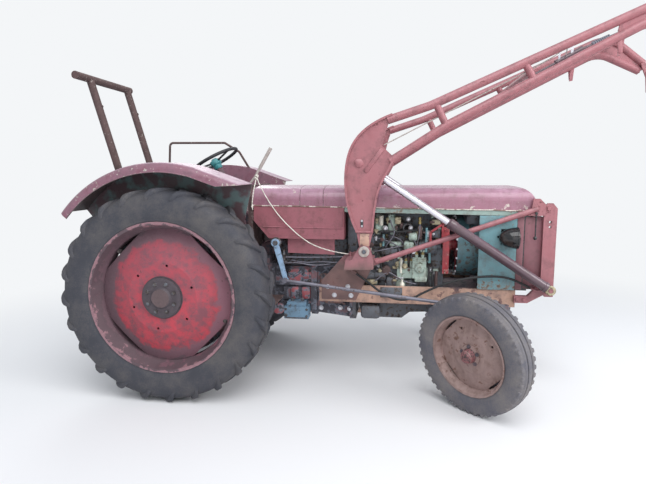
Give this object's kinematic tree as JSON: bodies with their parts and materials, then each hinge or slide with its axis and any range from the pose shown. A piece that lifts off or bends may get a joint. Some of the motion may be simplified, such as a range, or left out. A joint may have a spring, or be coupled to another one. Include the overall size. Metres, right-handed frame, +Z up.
{
  "type": "farm tractor with front loader",
  "caption": "Old four-wheeled farm tractor with a raised front loader, steered front wheels, open engine side, mudguards and a roll bar.",
  "frame": {"origin": "on the floor under the middle of the tractor's box", "axes": "+X forward, +Y to the driver's left, +Z up; the rear axle lies at X = -1.355 m"},
  "size_m": [4.3144, 2.0283, 2.6128],
  "materials": {
    "tyre_rubber": "worn rubber with dry mud",
    "wheel_red": "faded red enamel over rust",
    "wheel_brown": "rusty pink-brown paint",
    "body_red": "faded rose-red enamel with chips",
    "loader_red": "faded red enamel",
    "teal_paint": "faded teal enamel",
    "casting_brown": "oily painted castings",
    "engine_dark": "oily cast iron",
    "engine_green": "pale green enamel, stained",
    "rust_steel": "rusted steel",
    "rollbar_rust": "dark red paint and rust",
    "black_plastic": "worn black plastic",
    "black_enamel": "black enamel",
    "blue_rod": "light blue enamel",
    "silver_rod": "ground steel rod",
    "hose_rubber": "black hose",
    "rope_fibre": "white rope"
  },
  "bodies": {
    "chassis": {"front_axle_beam": "casting_brown", "rear_axle_housing": "casting_brown", "gearbox_housing": "casting_brown", "side_valve": "teal_paint", "clutch_housing": "casting_brown", "engine_block": "engine_dark", "cylinder_head": "engine_dark", "intake_manifold": "engine_dark", "engine_sump": "engine_dark", "injection_pump": "engine_green", "engine_filters": "engine_green", "exhaust": "rust_steel", "radiator": "black_enamel", "fan_shroud": "teal_paint", "fan": "body_red", "bonnet": "body_red", "bonnet_rails": "engine_green", "fuel_tank": "body_red", "cowl_panels": "teal_paint", "grille": "black_enamel", "headlamps": "black_enamel", "dash_panel": "rollbar_rust", "hand_lever": "black_enamel", "steering_column": "casting_brown", "mudguard_left": "body_red", "mudguard_right": "body_red", "footplates": "rollbar_rust", "driver_seat": "black_plastic", "roll_bar": "rollbar_rust", "grab_rail": "body_red", "drawbar": "rust_steel", "frame_rails": "rust_steel", "front_support": "casting_brown", "loader_brackets": "loader_red", "loader_front_frame": "loader_red", "lift_hose": "hose_rubber", "trip_rope": "rope_fibre", "rope_tail": "rope_fibre"},
    "knuckle_right": {"knuckle_right": "casting_brown"},
    "knuckle_left": {"knuckle_left": "casting_brown"},
    "front_wheel_right": {"front_tyre_right": "tyre_rubber", "front_wheel_right": "wheel_brown"},
    "front_wheel_left": {"front_tyre_left": "tyre_rubber", "front_wheel_left": "wheel_brown"},
    "rear_wheel_right": {"rear_tyre_right": "tyre_rubber", "rear_wheel_right": "wheel_red"},
    "rear_wheel_left": {"rear_tyre_left": "tyre_rubber", "rear_wheel_left": "wheel_red"},
    "steering_wheel": {"steering_wheel": "black_plastic"},
    "drop_arm": {"drop_arm": "blue_rod"},
    "drag_link": {"drag_link": "rust_steel"},
    "tie_rod": {"tie_rod": "rust_steel"},
    "boom": {"boom_arm_right": "loader_red", "boom_arm_left": "loader_red", "boom_cross_tubes": "loader_red", "latch_rod": "rollbar_rust"},
    "tool_carrier": {"tool_carrier": "loader_red"},
    "lift_barrel_right": {"lift_barrel_right": "rollbar_rust"},
    "lift_barrel_left": {"lift_barrel_left": "rollbar_rust"},
    "lift_rod_right": {"lift_rod_right": "silver_rod"},
    "lift_rod_left": {"lift_rod_left": "silver_rod"}
  },
  "joints": [
    {"name": "steer_right", "type": "hinge", "parent": "chassis", "child": "knuckle_right", "pos_m": [0.777, -0.645, 0.45], "axis": [0, 0, 1], "range_deg": [0, 73.2]},
    {"name": "steer_left", "type": "hinge", "parent": "chassis", "child": "knuckle_left", "pos_m": [0.777, 0.645, 0.45], "axis": [0, 0, 1], "range_deg": [0, 73.2]},
    {"name": "front_roll_right", "type": "hinge", "parent": "knuckle_right", "child": "front_wheel_right", "pos_m": [0.70295, -0.72553, 0.40016], "axis": [0.6732, 0.7321, 0.1045], "continuous": true},
    {"name": "front_roll_left", "type": "hinge", "parent": "knuckle_left", "child": "front_wheel_left", "pos_m": [0.83269, 0.73916, 0.40016], "axis": [0.5063, 0.856, -0.1045], "continuous": true},
    {"name": "rear_roll_right", "type": "hinge", "parent": "chassis", "child": "rear_wheel_right", "pos_m": [-1.355, -0.75, 0.735], "axis": [0, 1, 0], "continuous": true},
    {"name": "rear_roll_left", "type": "hinge", "parent": "chassis", "child": "rear_wheel_left", "pos_m": [-1.355, 0.75, 0.735], "axis": [0, 1, 0], "continuous": true},
    {"name": "steering_wheel_turn", "type": "hinge", "parent": "chassis", "child": "steering_wheel", "pos_m": [-1.261, 0, 1.651], "axis": [-0.4848, 0, 0.8746], "range_deg": [0, 805.6]},
    {"name": "drop_arm_swing", "type": "hinge", "parent": "chassis", "child": "drop_arm", "pos_m": [-0.687, -0.36, 1.052], "axis": [0, 1, 0], "range_deg": [0, 63.27]},
    {"name": "drag_link_turn", "type": "hinge", "parent": "drop_arm", "child": "drag_link", "pos_m": [-0.61324, -0.392, 0.77671], "axis": [-0.0064, -0.9998, 0.0189], "range_deg": [0, 60.14]},
    {"name": "tie_rod_turn", "type": "hinge", "parent": "knuckle_right", "child": "tie_rod", "pos_m": [0.69563, -0.50723, 0.265], "axis": [0, 0, 1], "range_deg": [-80.36, 0]},
    {"name": "boom_lift", "type": "hinge", "parent": "chassis", "child": "boom", "pos_m": [-0.025, 0, 1.02], "axis": [0, -1, 0], "range_deg": [-50, 0]},
    {"name": "carrier_tilt", "type": "hinge", "parent": "boom", "child": "tool_carrier", "pos_m": [2.085, 0, 2.375], "axis": [0, -1, 0], "range_deg": [-35, 40]},
    {"name": "lift_barrel_turn_right", "type": "hinge", "parent": "chassis", "child": "lift_barrel_right", "pos_m": [1.245, -0.395, 0.762], "axis": [0, -1, 0], "range_deg": [-5.84, 0]},
    {"name": "lift_rod_slide_right", "type": "slide", "parent": "lift_barrel_right", "child": "lift_rod_right", "axis": [-0.8342, 0, 0.5515], "range_m": [-0.49801, 0]},
    {"name": "lift_barrel_turn_left", "type": "hinge", "parent": "chassis", "child": "lift_barrel_left", "pos_m": [1.245, 0.395, 0.762], "axis": [0, -1, 0], "range_deg": [-5.84, 0]},
    {"name": "lift_rod_slide_left", "type": "slide", "parent": "lift_barrel_left", "child": "lift_rod_left", "axis": [-0.8342, 0, 0.5515], "range_m": [-0.49801, 0]}
  ],
  "couplings": [
    {"joint": "steer_left", "follows": "steer_right", "ratio": 1},
    {"joint": "steering_wheel_turn", "follows": "steer_right", "ratio": 11},
    {"joint": "drop_arm_swing", "follows": "steer_right", "ratio": 0.86395},
    {"joint": "drag_link_turn", "follows": "steer_right", "ratio": 0.82117},
    {"joint": "tie_rod_turn", "follows": "steer_right", "ratio": -1.0972},
    {"joint": "lift_barrel_turn_right", "follows": "boom_lift", "ratio": 0.11677},
    {"joint": "lift_rod_slide_right", "follows": "boom_lift", "m_per_rad": 0.57039},
    {"joint": "lift_barrel_turn_left", "follows": "boom_lift", "ratio": 0.11677},
    {"joint": "lift_rod_slide_left", "follows": "boom_lift", "m_per_rad": 0.57039}
  ]
}
